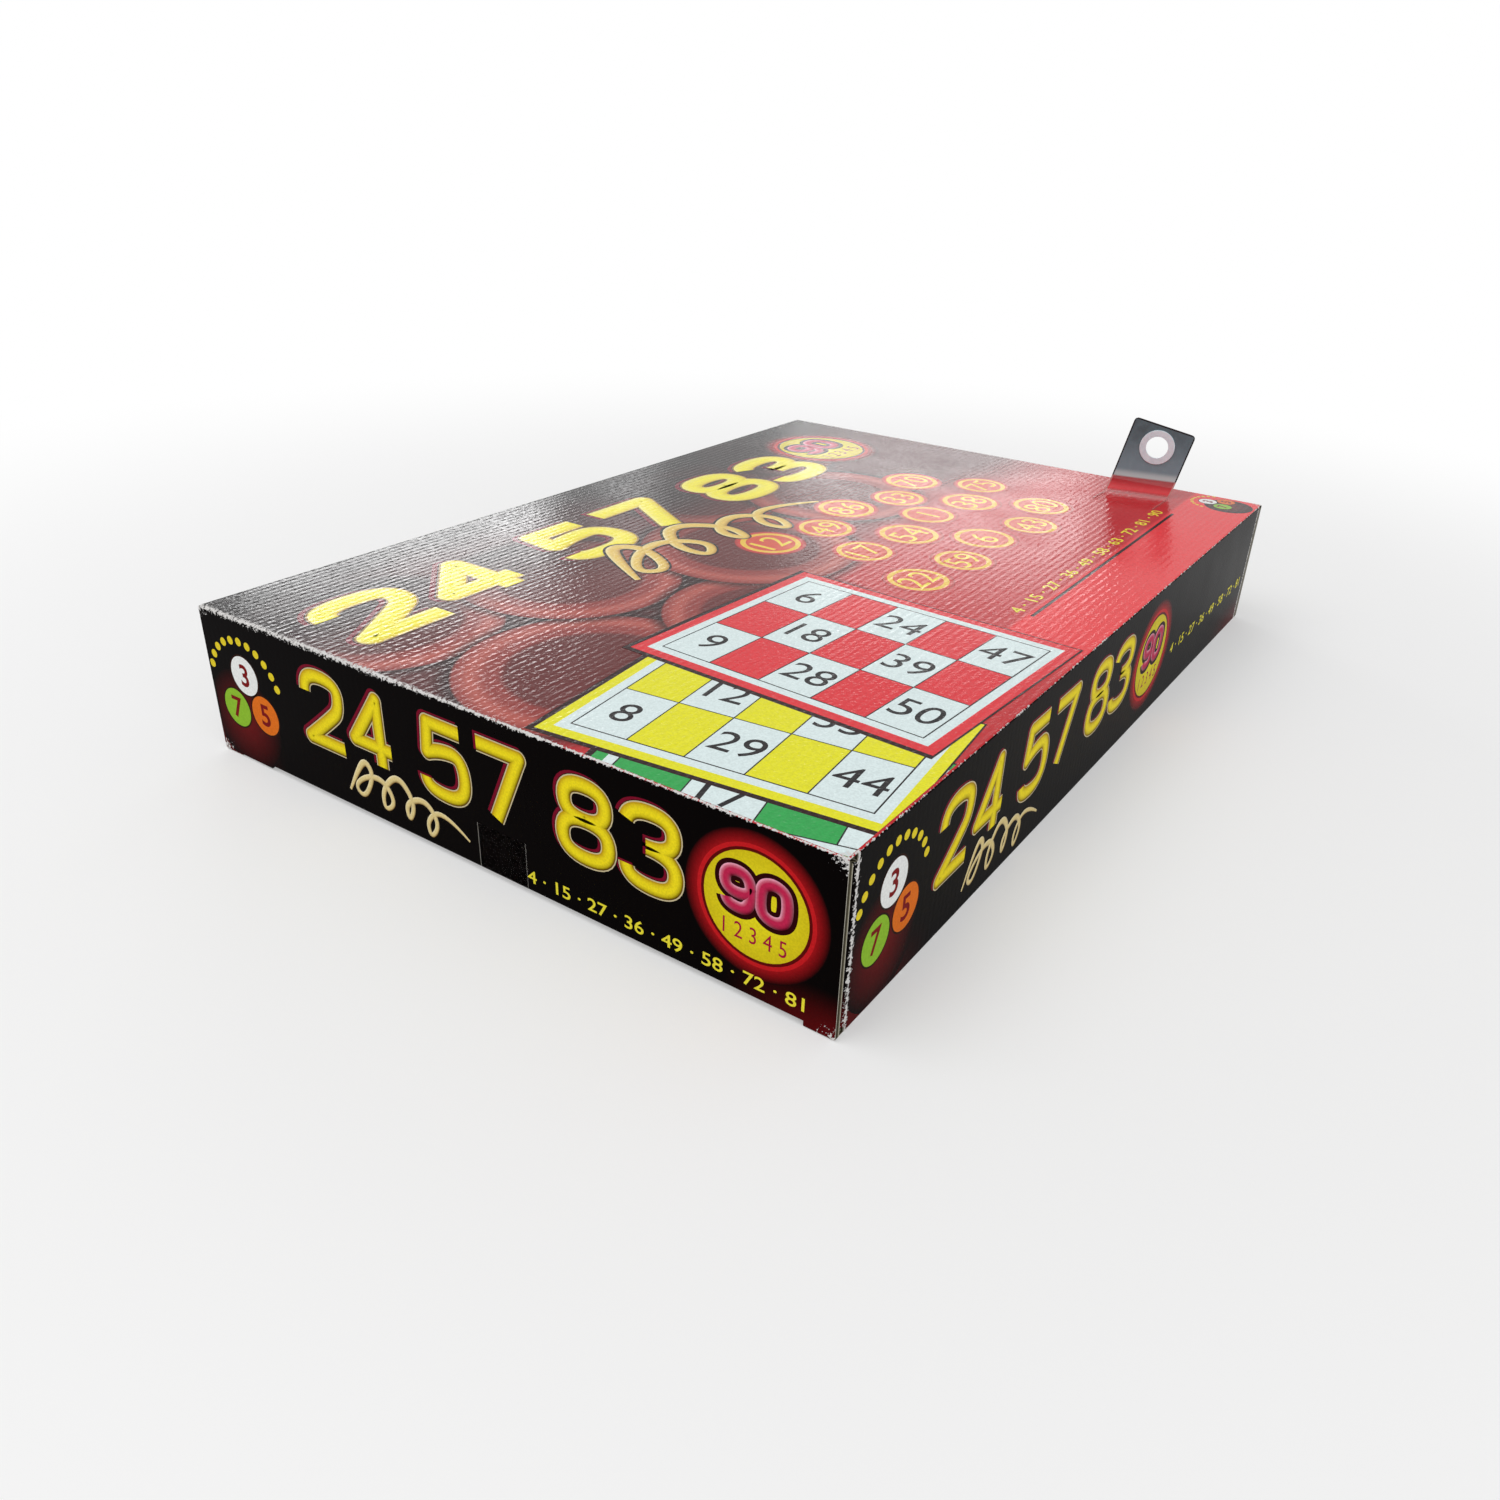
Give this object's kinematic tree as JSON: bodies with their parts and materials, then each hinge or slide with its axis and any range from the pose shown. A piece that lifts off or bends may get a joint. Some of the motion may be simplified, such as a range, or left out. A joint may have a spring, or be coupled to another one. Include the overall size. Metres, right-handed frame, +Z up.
{
  "type": "boxed bingo game",
  "caption": "Flat printed carton of a bingo game, with tuck-in end closures, dust flaps and a folding hang tab, holding cards, a calling board and a bag of wooden numbers.",
  "frame": {"origin": "centre of the carton's underside", "axes": "+X along the short edge, +Y along the long edge towards the hang tab's end, +Z up through the lid"},
  "size_m": [0.23, 0.335, 0.0806],
  "materials": {
    "lid_print": "litho-laminated gloss",
    "wall_print": "litho-laminated gloss",
    "inner_board": "uncoated grey-brown liner",
    "clear_tape": "clear gloss film",
    "clear_strip": "smoky clear gloss",
    "eyelet": "moulded gloss",
    "card_green": "printed matt",
    "card_yellow": "printed matt",
    "card_red": "printed matt",
    "card_blue": "printed matt",
    "card_orange": "printed matt",
    "card_violet": "printed matt",
    "calling_board": "printed matt",
    "leaflet": "uncoated",
    "wood_numbers": "turned and sanded",
    "bag_cloth": "plain weave cotton"
  },
  "bodies": {
    "carton": {"top_panel": "lid_print", "bottom_panel": "wall_print", "left_side_panel": "wall_print", "right_side_panel": "wall_print", "glue_flap": "inner_board", "seal_tape_under": "clear_tape", "hang_tab_foot": "clear_strip", "hang_tab_bend": "clear_strip"},
    "front_closure": {"front_closure_panel": "wall_print", "seal_tape_face": "clear_tape"},
    "front_tongue": {"front_tuck_tongue": "wall_print"},
    "rear_closure": {"rear_closure_panel": "wall_print"},
    "rear_tongue": {"rear_tuck_tongue": "wall_print"},
    "front_left_flap": {"front_left_dust_flap": "wall_print"},
    "front_right_flap": {"front_right_dust_flap": "wall_print"},
    "rear_left_flap": {"rear_left_dust_flap": "wall_print"},
    "rear_right_flap": {"rear_right_dust_flap": "wall_print"},
    "hang_tab": {"hang_tab_header": "clear_strip", "hang_hole_eyelet": "eyelet"},
    "front_card_stack": {"cards_green": "card_green", "cards_yellow": "card_yellow", "cards_red": "card_red"},
    "rear_card_stack": {"cards_blue": "card_blue", "cards_orange": "card_orange", "cards_violet": "card_violet"},
    "calling_board": {"calling_board": "calling_board", "rules_leaflet": "leaflet"},
    "number_bag": {"number_discs": "wood_numbers", "bag_lower_cloth": "bag_cloth", "bag_upper_cloth": "bag_cloth"}
  },
  "joints": [
    {"name": "front_closure_hinge", "type": "hinge", "parent": "carton", "child": "front_closure", "pos_m": [0, -0.1675, 0.0495], "axis": [-1, 0, 0], "range_deg": [0, 180]},
    {"name": "front_tongue_fold", "type": "hinge", "parent": "front_closure", "child": "front_tongue", "pos_m": [0, -0.1675, 0.0019], "axis": [-1, 0, 0], "range_deg": [0, 11], "stiffness_Nm_per_rad": 0.002},
    {"name": "front_left_flap_crease", "type": "hinge", "parent": "carton", "child": "front_left_flap", "pos_m": [-0.1132, -0.1636, 0.02475], "axis": [0, 0, 1], "range_deg": [0, 20], "stiffness_Nm_per_rad": 0.002},
    {"name": "front_right_flap_crease", "type": "hinge", "parent": "carton", "child": "front_right_flap", "pos_m": [0.1132, -0.1636, 0.02475], "axis": [0, 0, -1], "range_deg": [0, 20], "stiffness_Nm_per_rad": 0.002},
    {"name": "rear_closure_hinge", "type": "hinge", "parent": "carton", "child": "rear_closure", "pos_m": [0, 0.1675, 0.0495], "axis": [1, 0, 0], "range_deg": [0, 88]},
    {"name": "rear_tongue_fold", "type": "hinge", "parent": "rear_closure", "child": "rear_tongue", "pos_m": [0, 0.1675, 0.0019], "axis": [1, 0, 0], "range_deg": [0, 11], "stiffness_Nm_per_rad": 0.002},
    {"name": "rear_left_flap_crease", "type": "hinge", "parent": "carton", "child": "rear_left_flap", "pos_m": [-0.1132, 0.1636, 0.02475], "axis": [0, 0, -1], "range_deg": [0, 20], "stiffness_Nm_per_rad": 0.002},
    {"name": "rear_right_flap_crease", "type": "hinge", "parent": "carton", "child": "rear_right_flap", "pos_m": [0.1132, 0.1636, 0.02475], "axis": [0, 0, 1], "range_deg": [0, 20], "stiffness_Nm_per_rad": 0.002},
    {"name": "hang_tab_bend", "type": "hinge", "parent": "carton", "child": "hang_tab", "pos_m": [0.06805, 0.14789, 0.051], "axis": [0.9785, 0.2062, 0], "range_deg": [-90, 45], "stiffness_Nm_per_rad": 0.002},
    {"name": "front_card_stack_slide", "type": "slide", "parent": "carton", "child": "front_card_stack", "axis": [1, 0, 0], "range_m": [-0.01, 0.01]},
    {"name": "rear_card_stack_slide", "type": "slide", "parent": "carton", "child": "rear_card_stack", "axis": [1, 0, 0], "range_m": [-0.01, 0.01]},
    {"name": "calling_board_slide", "type": "slide", "parent": "carton", "child": "calling_board", "axis": [1, 0, 0], "range_m": [-0.007, 0.007]},
    {"name": "number_bag_slide", "type": "slide", "parent": "carton", "child": "number_bag", "axis": [1, 0, 0], "range_m": [-0.01, 0.01]}
  ]
}
